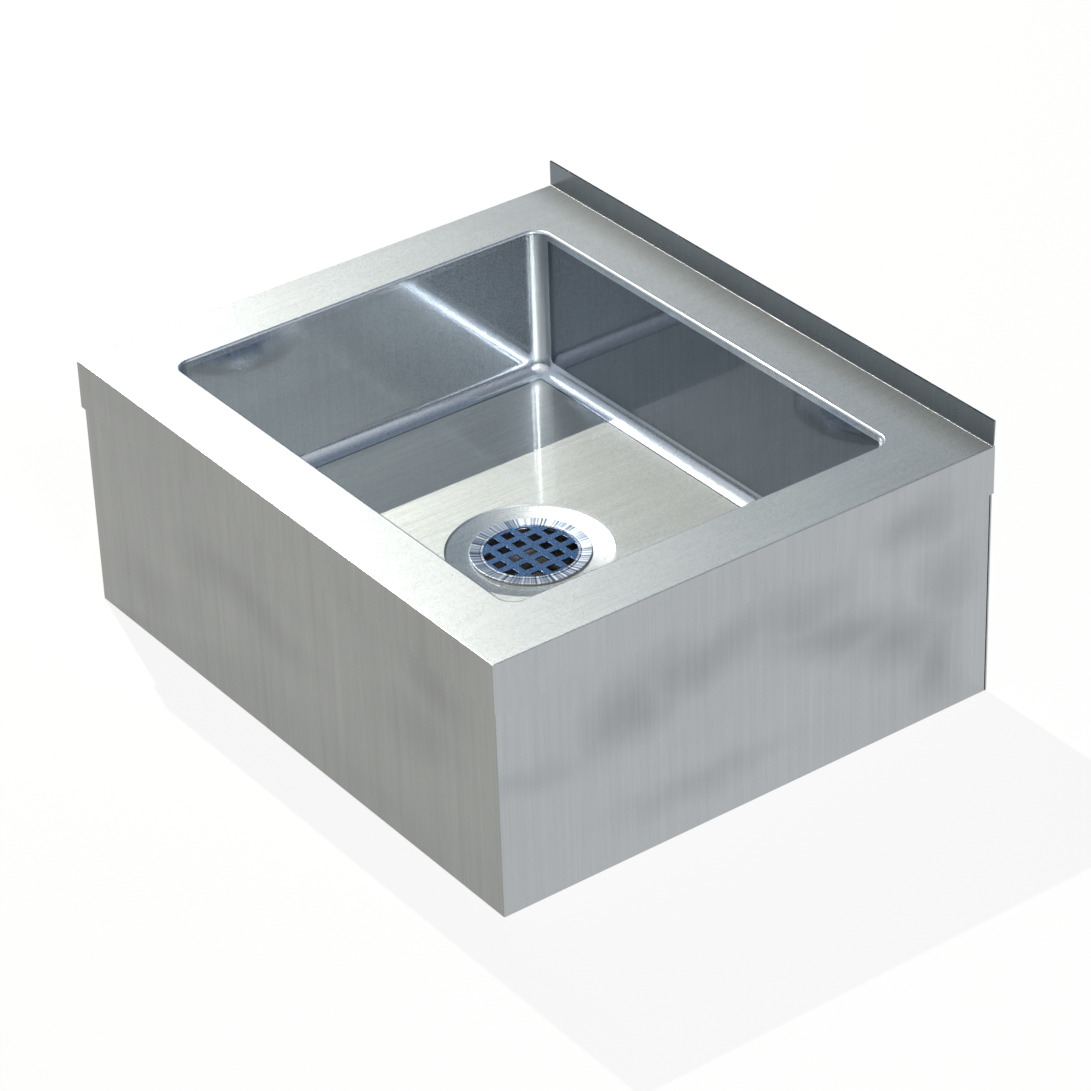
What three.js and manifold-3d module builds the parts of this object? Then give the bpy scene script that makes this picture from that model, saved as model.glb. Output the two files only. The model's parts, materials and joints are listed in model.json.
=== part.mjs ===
// Floor-standing mop service sink of folded and pressed stainless sheet, with a lift-out strainer plate
// in a flanged drain. Millimetres, +Z up. The origin is on the floor, at the centre of the footprint;
// +X runs along the width and +Y towards the wall.
//
// Each sheet piece is made as it is in the shop: a block with dressed edges is hollowed to its sheet
// thickness, and the bowl and the rim of its opening are lofted ring by ring round a rounded rectangle,
// so that the wall, the cove and the corner all keep the same sheet thickness.

import * as THREE from 'three';
import * as BufferGeometryUtils from 'three/addons/utils/BufferGeometryUtils.js';
import Module from 'manifold-3d';

const wasm = await Module();
wasm.setup();

// ---------------------------------------------------------------- driving dimensions, mm

const sinkWidth = 635;
const sinkDepth = 533.4;
const deckHeight = 254;
const upstandHeight = 25.4;
const rimDrop = 47.6;

const deckSheet = 2;
const bowlSheet = 1.5;
const skirtSheet = 1.5;
const dressedEdge = 1.2;
const insideFold = 0.6;

const bowlLength = 508;
const bowlBreadth = 406.4;
const bowlDepth = 152.4;
const bowlCornerRadius = 16.5;
const bowlCoveRadius = 15.9;
const openingEdgeRadius = 3;
const openingLipDepth = 8;

const dishRadius = 78;
const dishDepth = 3.2;
const dishStep = 1.4;
const dishStepWidth = 1.7;
const dishSeatRadius = 58;
const dishRound = 1.5;
const drainHoleRadius = 47.5;

const skirtReturn = 15;
const floorFlange = 25.4;
const sheetGap = 0.3;
const overcut = 2;

const gussetLeg = 96;
const gussetTip = 12;
const gussetSheet = 2.5;
const anchorHoleRadius = 4.5;
const anchorInset = 37;

const channelInset = 104;
const channelTop = 40;
const channelHeight = 26;
const channelFoot = 14;
const channelSheet = 1.5;
const channelEndGap = 1.2;

const bracketWidth = 62;
const bracketShelf = 32;
const bracketLeg = 34;
const bracketSheet = 2.5;

const padLength = 190;
const padBreadth = 84;
const padThickness = 3;
const padCorner = 12;
const padFromCentre = 141;

const flangeRadius = 55.5;
const flangeThickness = 1.4;
const flangeDish = 1;
const putty = 0.9;
const cupRadius = 46.6;
const cupWall = 2;
const cupThreadDepth = 19;
const cupDepth = 31;
const cupShoulderRound = 6;
const cupFloorRadius = 31;
const cupFloorRound = 5;
const shankBoreRadius = 20;
const shankMouthRound = 1.5;
const shankWall = 3.8;
const shankLength = 14;
const shankEndRound = 0.8;

const plateRadius = 45.3;
const plateThickness = 1.5;
const plateFootRound = 0.3;
const plateRimWidth = 2;
const plateRimRise = 0.9;
const plateRimRound = 0.6;
const plateRimSlope = 0.4;
const plateHoleMargin = 0.5;
const plateClearance = 0.4;
const plateLedge = 2.6;
const plateHoleSide = 10.2;
const plateHolePitch = 17.2;
const plateHoleRound = 0.8;

const gasketRadius = 59;
const gasketThickness = 3;
const gasketRound = 1;
const frictionRingThickness = 1;
const frictionRingInset = 1;
const nutRound = 1;
const lockNutHeight = 9;
const lockNutWall = 6;
const lockNutLugs = 6;
const lugWidth = 12;
const lugReach = 5;
const lugRoot = 1;
const lugRound = 1;

const tailpieceRadius = 19.05;
const tailpieceWall = 1.2;
const tailpieceLipWidth = 4.2;
const tailpieceLip = 1.2;
const tailpieceNeckRound = 1;
const tailpieceLipRound = 0.5;
const tailpieceMouthRound = 1.5;
const outletAboveFloor = 6;
const washerThickness = 2;
const couplingWall = 5;
const couplingGrip = 11;
const couplingLip = 3;
const couplingFootRound = 2;
const couplingRibs = 8;
const ribWidth = 7;
const ribReach = 2.5;

// ---------------------------------------------------------------- levels and faces that follow

const rimBottom = deckHeight - rimDrop;
const deckUnderside = deckHeight - deckSheet;
const lipBottom = deckHeight - openingLipDepth;
const floorTop = deckHeight - bowlDepth;
const floorUnderside = floorTop - bowlSheet;
const seatTop = floorTop - dishDepth;
const seatUnderside = seatTop - bowlSheet;

const skirtTop = deckUnderside - sheetGap;
const skirtSide = sinkWidth / 2 - deckSheet - sheetGap;
const skirtFront = sinkDepth / 2 - deckSheet - sheetGap;
const rearFace = sinkDepth / 2;
const wrapRear = rearFace - skirtSheet - sheetGap;

const flangeUnderside = seatTop + putty;
const flangeEdgeTop = flangeUnderside + flangeThickness;
const ledgeTop = flangeEdgeTop - flangeDish - plateThickness - plateRimRise;
const cupInside = cupRadius - cupWall;
const cupBottom = ledgeTop - cupDepth;
const shankRadius = shankBoreRadius + shankWall;
const shankEnd = cupBottom - cupWall - shankLength;

// ---------------------------------------------------------------- finishes

const finishes = {
  brushed: { color: 0xa6abad, roughness: 0.38, metalness: 1 },
  polished: { color: 0x9aa4ad, roughness: 0.18, metalness: 1 },
  mill: { color: 0x8c9194, roughness: 0.5, metalness: 1 },
  chrome: { color: 0xd6dade, roughness: 0.12, metalness: 1 },
  plate: { color: 0x6d86ad, roughness: 0.22, metalness: 1 },
  brass: { color: 0xb49a5c, roughness: 0.35, metalness: 1 },
  rubber: { color: 0x1d1d1e, roughness: 0.85, metalness: 0 },
  fibre: { color: 0xa5825a, roughness: 0.9, metalness: 0 },
  putty: { color: 0xb9b2a0, roughness: 0.8, metalness: 0 },
  nylon: { color: 0xe6e4dc, roughness: 0.55, metalness: 0 },
  pad: { color: 0x3a3d40, roughness: 0.95, metalness: 0 },
};

// ---------------------------------------------------------------- closed meshes, cut and joined

// Shared corners are merged, and triangles that a merge has closed up are left out.
function toSolid(geometry) {
  const bare = geometry.clone();
  bare.deleteAttribute('normal');
  bare.deleteAttribute('uv');
  const merged = BufferGeometryUtils.mergeVertices(bare, mergeWithin);
  const index = merged.index.array;
  const kept = [];
  for (let i = 0; i < index.length; i += 3) {
    const [a, b, c] = [index[i], index[i + 1], index[i + 2]];
    if (a !== b && b !== c && c !== a) kept.push(a, b, c);
  }
  const mesh = new wasm.Mesh({
    numProp: 3,
    vertProperties: new Float32Array(merged.attributes.position.array),
    triVerts: new Uint32Array(kept),
  });
  return new wasm.Manifold(mesh);
}

function toGeometry(solid) {
  const mesh = solid.getMesh();
  const geometry = new THREE.BufferGeometry();
  geometry.setAttribute('position', new THREE.BufferAttribute(new Float32Array(mesh.vertProperties), 3));
  geometry.setIndex(new THREE.BufferAttribute(new Uint32Array(mesh.triVerts), 1));
  geometry.computeVertexNormals();
  return geometry;
}

const cut = (body, ...tools) => tools.reduce((left, tool) => left.subtract(tool), body);
const join = (body, ...others) => others.reduce((sum, other) => sum.add(other), body);
const common = (body, ...others) => others.reduce((shared, other) => shared.intersect(other), body);

// ---------------------------------------------------------------- outlines and solids

const arcSteps = 5;
const dressedSteps = 3;
const coveSteps = 10;
const cornerSteps = 10;
const holeSteps = 24;
const turnedSides = 48;
const tubeSides = 32;
const roundSteps = { crisp: 1, soft: 2, smooth: 3 };
const mergeWithin = 1e-4;

// The points of an arc that rounds one corner of a polyline.
function roundCorner(before, corner, after, radius, steps = arcSteps) {
  if (radius <= 0) return [corner.clone()];
  const inward = corner.clone().sub(before).normalize();
  const outward = after.clone().sub(corner).normalize();
  const turn = Math.atan2(inward.cross(outward), inward.dot(outward));
  const reach = radius * Math.tan(Math.abs(turn) / 2);
  const start = corner.clone().addScaledVector(inward, -reach);
  const leftward = new THREE.Vector2(-inward.y, inward.x);
  const centre = start.clone().addScaledVector(leftward, Math.sign(turn) * radius);
  return Array.from({ length: steps + 1 }, (_, i) => start.clone().rotateAround(centre, (turn * i) / steps));
}

// A closed outline from [x, y, radius] corners.
function outline(corners, steps = arcSteps) {
  const points = corners.map(([x, y]) => new THREE.Vector2(x, y));
  const count = points.length;
  return corners.flatMap(([, , radius = 0], i) =>
    roundCorner(points[(i + count - 1) % count], points[i], points[(i + 1) % count], radius, steps));
}

// The section of a sheet folded along straight legs. The sheet lies to the left of the given face.
function foldedSheet(face, thickness, outside = thickness + insideFold) {
  const points = face.map(([x, y]) => new THREE.Vector2(x, y));
  const last = points.length - 1;
  const leg = (i) => points[i + 1].clone().sub(points[i]).normalize();
  const left = (v) => new THREE.Vector2(-v.y, v.x);
  const behind = points.map((point, i) => {
    if (i === 0) return point.clone().addScaledVector(left(leg(0)), thickness);
    if (i === last) return point.clone().addScaledVector(left(leg(last - 1)), thickness);
    const mitre = left(leg(i - 1)).add(left(leg(i)));
    return point.clone().addScaledVector(mitre, (2 * thickness) / mitre.lengthSq());
  });
  const near = [points[0]];
  const far = [behind[0]];
  for (let i = 1; i < last; i += 1) {
    const turnsLeft = leg(i - 1).cross(leg(i)) > 0;
    near.push(...roundCorner(points[i - 1], points[i], points[i + 1], turnsLeft ? outside : insideFold));
    far.push(...roundCorner(behind[i - 1], behind[i], behind[i + 1], turnsLeft ? insideFold : outside));
  }
  return [...near, points[last], behind[last], ...far.reverse()];
}

const axesFor = {
  x: [new THREE.Vector3(0, 1, 0), new THREE.Vector3(0, 0, 1), new THREE.Vector3(1, 0, 0)],
  y: [new THREE.Vector3(1, 0, 0), new THREE.Vector3(0, 0, 1), new THREE.Vector3(0, -1, 0)],
  z: [new THREE.Vector3(1, 0, 0), new THREE.Vector3(0, 1, 0), new THREE.Vector3(0, 0, 1)],
};

// A prism from an outline: along x the outline lies in YZ, along y in XZ and along z in XY.
function prism(points, axis, from, to, holes = []) {
  const shape = new THREE.Shape(points);
  shape.holes = holes.map((hole) => new THREE.Path(hole));
  const geometry = new THREE.ExtrudeGeometry(shape, { depth: to - from, bevelEnabled: false });
  geometry.translate(0, 0, axis === 'y' ? -to : from);
  geometry.applyMatrix4(new THREE.Matrix4().makeBasis(...axesFor[axis]));
  return toSolid(geometry);
}

const rectangle = (x0, x1, y0, y1, radius = 0) => [
  [x0, y0, radius], [x1, y0, radius], [x1, y1, radius], [x0, y1, radius],
];

function block(x0, x1, y0, y1, z0, z1) {
  return prism(outline(rectangle(x0, x1, y0, y1)), 'z', z0, z1);
}

// A block whose edges are all dressed to one radius.
function dressedBlock(x0, x1, y0, y1, z0, z1, radius) {
  return common(
    prism(outline(rectangle(x0, x1, y0, y1, radius), dressedSteps), 'z', z0, z1),
    prism(outline(rectangle(x0, x1, z0, z1, radius), dressedSteps), 'y', y0, y1),
    prism(outline(rectangle(y0, y1, z0, z1, radius), dressedSteps), 'x', x0, x1),
  );
}

// A closed solid turned about the Z axis, from the [radius, z, round] corners of its profile.
function turned(corners, sides = turnedSides, steps = roundSteps.soft) {
  const points = outline(corners, steps);
  if (points[0].x > 0) points.push(points[0].clone());
  const geometry = new THREE.LatheGeometry(points, sides);
  geometry.applyMatrix4(new THREE.Matrix4().makeRotationX(Math.PI / 2));
  const solid = toSolid(geometry);
  return solid.volume() < 0 ? toSolid(flipped(geometry)) : solid;
}

function flipped(geometry) {
  const index = geometry.index.array;
  for (let i = 0; i < index.length; i += 3) [index[i], index[i + 1]] = [index[i + 1], index[i]];
  return geometry;
}

const cylinder = (radius, z0, z1) => turned([[0, z0], [radius, z0], [radius, z1], [0, z1]]);

// One level ring of the bowl or its opening, moved outwards from the bowl wall by an offset.
function bowlRing(offset, z) {
  const x = bowlLength / 2 + offset;
  const y = bowlBreadth / 2 + offset;
  const radius = Math.max(bowlCornerRadius + offset, 0);
  const ring = [];
  [[1, 1], [-1, 1], [-1, -1], [1, -1]].forEach(([sideX, sideY], corner) => {
    const centre = new THREE.Vector3(sideX * (x - radius), sideY * (y - radius), z);
    for (let i = 0; i <= cornerSteps; i += 1) {
      const angle = (Math.PI / 2) * (corner + i / cornerSteps);
      const outward = new THREE.Vector3(Math.cos(angle), Math.sin(angle), 0);
      ring.push(centre.clone().addScaledVector(outward, radius));
    }
  });
  return ring;
}

// A closed solid through level rings of equal count, from the lowest ring to the highest.
function loft(rings) {
  const count = rings[0].length;
  const centreOf = (ring) => new THREE.Vector3(0, 0, ring[0].z);
  const points = [...rings.flat(), centreOf(rings[0]), centreOf(rings.at(-1))];
  const [low, high] = [points.length - 2, points.length - 1];
  const index = [];
  for (let i = 0; i < count; i += 1) {
    const next = (i + 1) % count;
    const top = (rings.length - 1) * count;
    index.push(low, next, i, high, top + i, top + next);
    for (let k = 0; k < rings.length - 1; k += 1) {
      const [here, above] = [k * count, (k + 1) * count];
      index.push(here + i, here + next, above + next, here + i, above + next, above + i);
    }
  }
  const geometry = new THREE.BufferGeometry().setFromPoints(points);
  geometry.setIndex(index);
  return toSolid(geometry);
}

// ---------------------------------------------------------------- deck: rim, opening lip and upstand

// The flare of the opening from its straight lip out to the deck, `skin` behind the show face.
function openingFlare(skin) {
  const radius = openingEdgeRadius - skin;
  return Array.from({ length: arcSteps + 1 }, (_, i) => {
    const angle = (Math.PI / 2) * (i / arcSteps);
    const offset = skin + radius * (1 - Math.cos(angle));
    return bowlRing(offset, deckHeight - openingEdgeRadius + radius * Math.sin(angle));
  });
}

function makeDeck() {
  const [halfX, halfY] = [sinkWidth / 2, sinkDepth / 2];
  const body = common(
    dressedBlock(-halfX, halfX, -halfY, halfY + overcut, rimBottom - overcut, deckHeight, dressedEdge),
    block(-halfX, halfX, -halfY, halfY, rimBottom, deckHeight),
  );
  const [insideX, insideY] = [halfX - deckSheet, halfY - deckSheet];
  const under = block(-insideX, insideX, -insideY, halfY + overcut, rimBottom - overcut, deckUnderside);
  const collar = loft([
    bowlRing(deckSheet, lipBottom),
    ...openingFlare(deckSheet),
    bowlRing(openingEdgeRadius, deckHeight),
  ]);
  const opening = loft([
    bowlRing(0, rimBottom - overcut),
    ...openingFlare(0),
    bowlRing(openingEdgeRadius, deckHeight + overcut),
  ]);
  const upstandFoot = 2 * deckSheet;
  const upstand = foldedSheet(
    [
      [halfY - deckSheet, deckHeight + upstandHeight],
      [halfY - deckSheet, deckHeight],
      [halfY - deckSheet - upstandFoot, deckHeight],
    ],
    deckSheet,
  );
  return cut(join(cut(body, cut(under, collar)), prism(upstand, 'x', -halfX, halfX)), opening);
}

// ---------------------------------------------------------------- bowl with its coves and pressed drain dish

// Rings of one face of the bowl sheet, `skin` behind the show face, from the floor up to the weld line.
function bowlRings(skin, topZ) {
  const radius = bowlCoveRadius + skin;
  const cove = Array.from({ length: coveSteps + 1 }, (_, i) => {
    const angle = (Math.PI / 2) * (i / coveSteps);
    const offset = skin - radius * (1 - Math.sin(angle));
    return bowlRing(offset, floorTop + bowlCoveRadius - radius * Math.cos(angle));
  });
  return [...cove, bowlRing(skin, topZ)];
}

// The pressed dish round the drain, `drop` below the show face: a soft step, a shallow cone and a flat seat.
function dish(drop, topZ, steps) {
  const z = floorTop - drop;
  const outer = dishRadius + 2 * dishRound;
  const corners = [
    [0, seatTop - drop],
    [dishSeatRadius, seatTop - drop, dishRound],
    [dishRadius - dishStepWidth, z - dishStep, dishRound],
    [dishRadius, z, dishRound],
    [outer, z],
    [outer, topZ],
    [0, topZ],
  ];
  return turned(corners, turnedSides, steps);
}

function makeBowl() {
  const outside = join(
    loft(bowlRings(bowlSheet, lipBottom)),
    dish(bowlSheet, floorTop - bowlSheet / 2, roundSteps.crisp),
  );
  const inside = join(
    loft(bowlRings(0, lipBottom + overcut)),
    dish(0, floorTop + overcut, roundSteps.smooth),
  );
  return cut(outside, inside, cylinder(drainHoleRadius, seatUnderside - overcut, floorTop));
}

// ---------------------------------------------------------------- skirts and their floor anchors

function makeSkirtWrap() {
  const shell = cut(
    common(
      dressedBlock(-skirtSide, skirtSide, -skirtFront, wrapRear, 0, skirtTop + overcut, dressedEdge),
      block(-skirtSide, skirtSide, -skirtFront, wrapRear, 0, skirtTop),
    ),
    block(
      skirtSheet - skirtSide, skirtSide - skirtSheet,
      skirtSheet - skirtFront, wrapRear - skirtSheet,
      skirtSheet, skirtTop + overcut,
    ),
  );
  const openSide = skirtSide - floorFlange;
  const openFront = floorFlange - skirtFront;
  const floorOpening = block(-openSide, openSide, openFront, rearFace, -overcut, skirtSheet + overcut);
  const [rearX, rearY] = [skirtSide - skirtReturn, wrapRear - skirtSheet - overcut];
  const rearOpening = block(-rearX, rearX, rearY, rearFace, -overcut, skirtTop + overcut);
  return cut(shell, floorOpening, rearOpening);
}

function makeSkirtRear() {
  const flangeStart = rearFace - floorFlange;
  const section = foldedSheet(
    [[flangeStart, 0], [rearFace, 0], [rearFace, skirtTop]],
    skirtSheet,
  );
  const panel = prism(section, 'x', -skirtSide, skirtSide);
  const flangeEnd = skirtSide - floorFlange - sheetGap;
  const notch = (x0, x1) =>
    block(x0, x1, flangeStart - overcut, wrapRear + sheetGap, -overcut, skirtSheet + overcut);
  return cut(panel, notch(-sinkWidth, -flangeEnd), notch(flangeEnd, sinkWidth));
}

// A corner gusset, drawn for the rear right corner of the skirt and turned over to the other three.
function makeGusset(sideX, sideY) {
  const cornerX = skirtSide - skirtSheet - sheetGap;
  const cornerY = (sideY > 0 ? wrapRear - skirtSheet : skirtFront - skirtSheet) - sheetGap;
  const corners = [
    [cornerX, cornerY],
    [cornerX - gussetLeg, cornerY],
    [cornerX - gussetLeg, cornerY - gussetTip],
    [cornerX - gussetTip, cornerY - gussetLeg],
    [cornerX, cornerY - gussetLeg],
  ].map(([x, y]) => new THREE.Vector2(sideX * x, sideY * y));
  const centre = new THREE.Vector2(sideX * (cornerX - anchorInset), sideY * (cornerY - anchorInset));
  const hole = new THREE.Path().absarc(centre.x, centre.y, anchorHoleRadius, 0, Math.PI * 2);
  const bottom = skirtSheet + sheetGap;
  return prism(corners, 'z', bottom, bottom + gussetSheet, [hole.getSpacedPoints(holeSteps).slice(1)]);
}

// ---------------------------------------------------------------- channels and brackets under the bowl

const channelTopZ = floorUnderside - sheetGap;
const channelBottomZ = channelTopZ - channelHeight;

function makeChannel(x) {
  const [top, foot] = [channelTop / 2, channelTop / 2 + channelFoot];
  const section = foldedSheet(
    [
      [x + foot, channelBottomZ + channelSheet],
      [x + top, channelBottomZ + channelSheet],
      [x + top, channelTopZ],
      [x - top, channelTopZ],
      [x - top, channelBottomZ + channelSheet],
      [x - foot, channelBottomZ + channelSheet],
    ],
    channelSheet,
  );
  const front = skirtSheet - skirtFront + channelEndGap;
  const rear = rearFace - skirtSheet - channelEndGap;
  return prism(section, 'y', front, rear);
}

// An angle bracket on the inside of the front or rear skirt, with its shelf under the channel's feet.
function makeBracket(x, sideY) {
  const wall = (sideY > 0 ? rearFace : skirtFront) - skirtSheet - sheetGap;
  const shelfTop = channelBottomZ - sheetGap;
  const face = [
    [wall, shelfTop - bracketLeg],
    [wall, shelfTop],
    [wall - bracketShelf, shelfTop],
  ];
  const section = foldedSheet(face, bracketSheet);
  section.forEach((point) => point.set(sideY * point.x, point.y));
  return prism(section, 'x', x - bracketWidth / 2, x + bracketWidth / 2);
}

function makePad(y) {
  const top = floorUnderside - sheetGap;
  const corners = rectangle(-padLength / 2, padLength / 2, y - padBreadth / 2, y + padBreadth / 2, padCorner);
  return prism(outline(corners), 'z', top - padThickness, top);
}

// ---------------------------------------------------------------- drain, from the plate down to the outlet

function makePuttyRing() {
  const inner = drainHoleRadius + sheetGap;
  const outer = flangeRadius - sheetGap;
  const [low, high] = [seatTop + sheetGap / 2, flangeUnderside - sheetGap / 2];
  return turned([[inner, low], [outer, low], [outer, high], [inner, high]]);
}

// The flange slopes down to the mouth, where a ledge carries the plate, and the cup narrows to its shank.
function makeStrainerBody() {
  const mouth = plateRadius + plateClearance;
  const mouthTop = flangeEdgeTop - flangeDish;
  const ledge = mouth - plateLedge;
  const threadEnd = ledgeTop - cupThreadDepth;
  return turned([
    [flangeRadius, flangeUnderside],
    [flangeRadius, flangeEdgeTop, flangeThickness / 2],
    [mouth, mouthTop],
    [mouth, ledgeTop],
    [ledge, ledgeTop],
    [cupInside - plateLedge, threadEnd, cupShoulderRound],
    [cupFloorRadius, cupBottom, cupFloorRound],
    [shankBoreRadius, cupBottom, shankMouthRound],
    [shankBoreRadius, shankEnd],
    [shankRadius, shankEnd, shankEndRound],
    [shankRadius, cupBottom - cupWall],
    [cupFloorRadius + cupWall, cupBottom - cupWall, cupFloorRound],
    [cupRadius, threadEnd],
    [cupRadius, flangeUnderside],
  ]);
}

// The lift-out plate: a flat disc with a raised rim, and a lattice of square holes that stop at the rim.
function makePlate() {
  const low = ledgeTop + sheetGap;
  const [flatTop, rimTop] = [low + plateThickness, low + plateThickness + plateRimRise];
  const flat = plateRadius - plateRimWidth;
  const body = turned([
    [0, low],
    [plateRadius, low, plateFootRound],
    [plateRadius, rimTop, plateRimRound],
    [flat + plateRimSlope, rimTop, plateRimSlope],
    [flat, flatTop],
    [0, flatTop],
  ], turnedSides, roundSteps.crisp);
  const reach = Math.floor(flat / plateHolePitch);
  const half = plateHoleSide / 2;
  const holes = [];
  for (let column = -reach; column <= reach; column += 1) {
    for (let row = -reach; row <= reach; row += 1) {
      const [x, y] = [column * plateHolePitch, row * plateHolePitch];
      if (Math.hypot(x, y) > flat - half / 2) continue;
      const square = rectangle(x - half, x + half, y - half, y + half, plateHoleRound);
      holes.push(prism(outline(square, roundSteps.crisp), 'z', low - overcut, flatTop + overcut));
    }
  }
  const inRim = cylinder(flat - plateHoleMargin, low - overcut, flatTop + overcut);
  return cut(body, common(join(...holes), inRim));
}

const gasketTop = seatUnderside - sheetGap;
const gasketInner = cupRadius + sheetGap;
const frictionTop = gasketTop - gasketThickness - sheetGap;
const lockNutTop = frictionTop - frictionRingThickness - sheetGap;

function makeGasket() {
  const low = gasketTop - gasketThickness;
  const profile = [
    [gasketInner, low],
    [gasketRadius, low, gasketRound],
    [gasketRadius, gasketTop, gasketRound],
    [gasketInner, gasketTop],
  ];
  return turned(profile, turnedSides, roundSteps.crisp);
}

function makeFrictionRing() {
  const low = frictionTop - frictionRingThickness;
  const outer = gasketRadius - frictionRingInset;
  return turned([[gasketInner, low], [outer, low], [outer, frictionTop], [gasketInner, frictionTop]]);
}

// A turned ring with blocks spaced evenly round its rim, to be turned by a wrench or by hand.
function withLugs(ring, outer, { count, width, reach }, low, high) {
  const lugs = Array.from({ length: count }, (_, i) => {
    const lug = outline([
      [outer - lugRoot, -width / 2],
      [outer + reach, -width / 2, lugRound],
      [outer + reach, width / 2, lugRound],
      [outer - lugRoot, width / 2],
    ], roundSteps.soft);
    lug.forEach((point) => point.rotateAround(new THREE.Vector2(), (Math.PI * 2 * i) / count));
    return prism(lug, 'z', low, high);
  });
  return join(ring, ...lugs);
}

function makeLockNut() {
  const inner = cupRadius + sheetGap;
  const outer = inner + lockNutWall;
  const low = lockNutTop - lockNutHeight;
  const profile = [[inner, low], [outer, low, nutRound], [outer, lockNutTop, nutRound], [inner, lockNutTop]];
  const ring = turned(profile, turnedSides, roundSteps.crisp);
  const lugs = { count: lockNutLugs, width: lugWidth, reach: lugReach };
  return withLugs(ring, outer, lugs, low + nutRound, lockNutTop - nutRound);
}

const washerTop = shankEnd - sheetGap;
const tailTop = washerTop - washerThickness - sheetGap;
const tailLipRadius = tailpieceRadius + tailpieceLipWidth;

function makeTailWasher() {
  const inner = tailpieceRadius - tailpieceWall;
  const low = washerTop - washerThickness;
  const ring = [[inner, low], [tailLipRadius, low], [tailLipRadius, washerTop], [inner, washerTop]];
  return turned(ring, tubeSides);
}

function makeTailpiece() {
  const bore = tailpieceRadius - tailpieceWall;
  const lipLow = tailTop - tailpieceLip;
  return turned([
    [bore, outletAboveFloor],
    [tailpieceRadius, outletAboveFloor],
    [tailpieceRadius, lipLow, tailpieceNeckRound],
    [tailLipRadius, lipLow],
    [tailLipRadius, tailTop, tailpieceLipRound],
    [bore, tailTop, tailpieceMouthRound],
  ], tubeSides);
}

function makeCouplingNut() {
  const grip = shankRadius + sheetGap;
  const collar = tailpieceRadius + sheetGap;
  const outer = grip + couplingWall;
  const shelf = tailTop - tailpieceLip - sheetGap;
  const low = shelf - couplingLip;
  const high = shankEnd + couplingGrip;
  const ring = turned([
    [collar, low],
    [outer, low, couplingFootRound],
    [outer, high, nutRound],
    [grip, high],
    [grip, shelf],
    [collar, shelf],
  ], tubeSides);
  const ribs = { count: couplingRibs, width: ribWidth, reach: ribReach };
  return withLugs(ring, outer, ribs, low + couplingFootRound, high - nutRound);
}

// ---------------------------------------------------------------- the sink

const sink = new THREE.Group();

function add(name, solid, finish) {
  const mesh = new THREE.Mesh(toGeometry(solid), new THREE.MeshStandardMaterial(finishes[finish]));
  mesh.name = name;
  sink.add(mesh);
}

add('deck', makeDeck(), 'brushed');
add('bowl', makeBowl(), 'polished');
add('skirt_wrap', makeSkirtWrap(), 'brushed');
add('skirt_rear', makeSkirtRear(), 'brushed');

for (const [sideX, side] of [[-1, 'left'], [1, 'right']]) {
  const channelX = sideX * (bowlLength / 2 - channelInset);
  add(`support_channel_${side}`, makeChannel(channelX), 'mill');
  for (const [sideY, end] of [[-1, 'front'], [1, 'rear']]) {
    add(`channel_bracket_${end}_${side}`, makeBracket(channelX, sideY), 'mill');
    add(`anchor_gusset_${end}_${side}`, makeGusset(sideX, sideY), 'mill');
  }
}
add('sound_pad_front', makePad(-padFromCentre), 'pad');
add('sound_pad_rear', makePad(padFromCentre), 'pad');

add('strainer_plate', makePlate(), 'plate');
add('strainer_body', makeStrainerBody(), 'chrome');
add('putty_ring', makePuttyRing(), 'putty');
add('rubber_gasket', makeGasket(), 'rubber');
add('friction_ring', makeFrictionRing(), 'fibre');
add('lock_nut', makeLockNut(), 'brass');
add('tailpiece_washer', makeTailWasher(), 'nylon');
add('tailpiece', makeTailpiece(), 'chrome');
add('coupling_nut', makeCouplingNut(), 'brass');

export default sink;
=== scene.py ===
# A floor-standing mop service sink of folded and pressed stainless sheet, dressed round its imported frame.
# Metres. The floor is z = 0, +X is the sink's right and +Y is towards the wall.
import json
import math

import bmesh
import bpy
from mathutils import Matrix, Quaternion, Vector


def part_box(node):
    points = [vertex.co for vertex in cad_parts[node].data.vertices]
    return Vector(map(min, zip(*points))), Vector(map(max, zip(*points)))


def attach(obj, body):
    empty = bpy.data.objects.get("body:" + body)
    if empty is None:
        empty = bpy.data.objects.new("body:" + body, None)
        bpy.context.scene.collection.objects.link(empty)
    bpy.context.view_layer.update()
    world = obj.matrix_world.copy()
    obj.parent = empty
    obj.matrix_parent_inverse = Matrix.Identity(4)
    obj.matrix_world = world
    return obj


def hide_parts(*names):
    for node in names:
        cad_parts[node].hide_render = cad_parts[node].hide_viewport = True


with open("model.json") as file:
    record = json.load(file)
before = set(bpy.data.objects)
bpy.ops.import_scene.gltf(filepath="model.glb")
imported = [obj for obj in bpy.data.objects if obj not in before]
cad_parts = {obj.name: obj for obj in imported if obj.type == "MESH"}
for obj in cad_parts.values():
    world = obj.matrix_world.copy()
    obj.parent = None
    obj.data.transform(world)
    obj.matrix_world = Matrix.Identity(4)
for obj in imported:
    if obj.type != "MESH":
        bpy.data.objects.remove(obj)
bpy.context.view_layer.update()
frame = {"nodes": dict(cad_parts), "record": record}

# camera: to the right of the near corner, looking down, a little rolled

photoCamera = {
    "place": (2.6393, -1.8696, 2.1410),
    "azimuth": 54.45,  # degrees round from straight in front
    "elevation": 32.19,
    "roll": -2.09,
    "lens": 140.73,
    "film": 36.0,
}


def towards(azimuth, elevation):
    # unit vector from the sink to a place seen at these angles, in degrees
    around = math.radians(azimuth)
    up = math.radians(elevation)
    return Vector((math.sin(around) * math.cos(up), -math.cos(around) * math.cos(up), math.sin(up)))


def linkNew(name, data):
    made = bpy.data.objects.new(name, data)
    bpy.context.scene.collection.objects.link(made)
    return made


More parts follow.
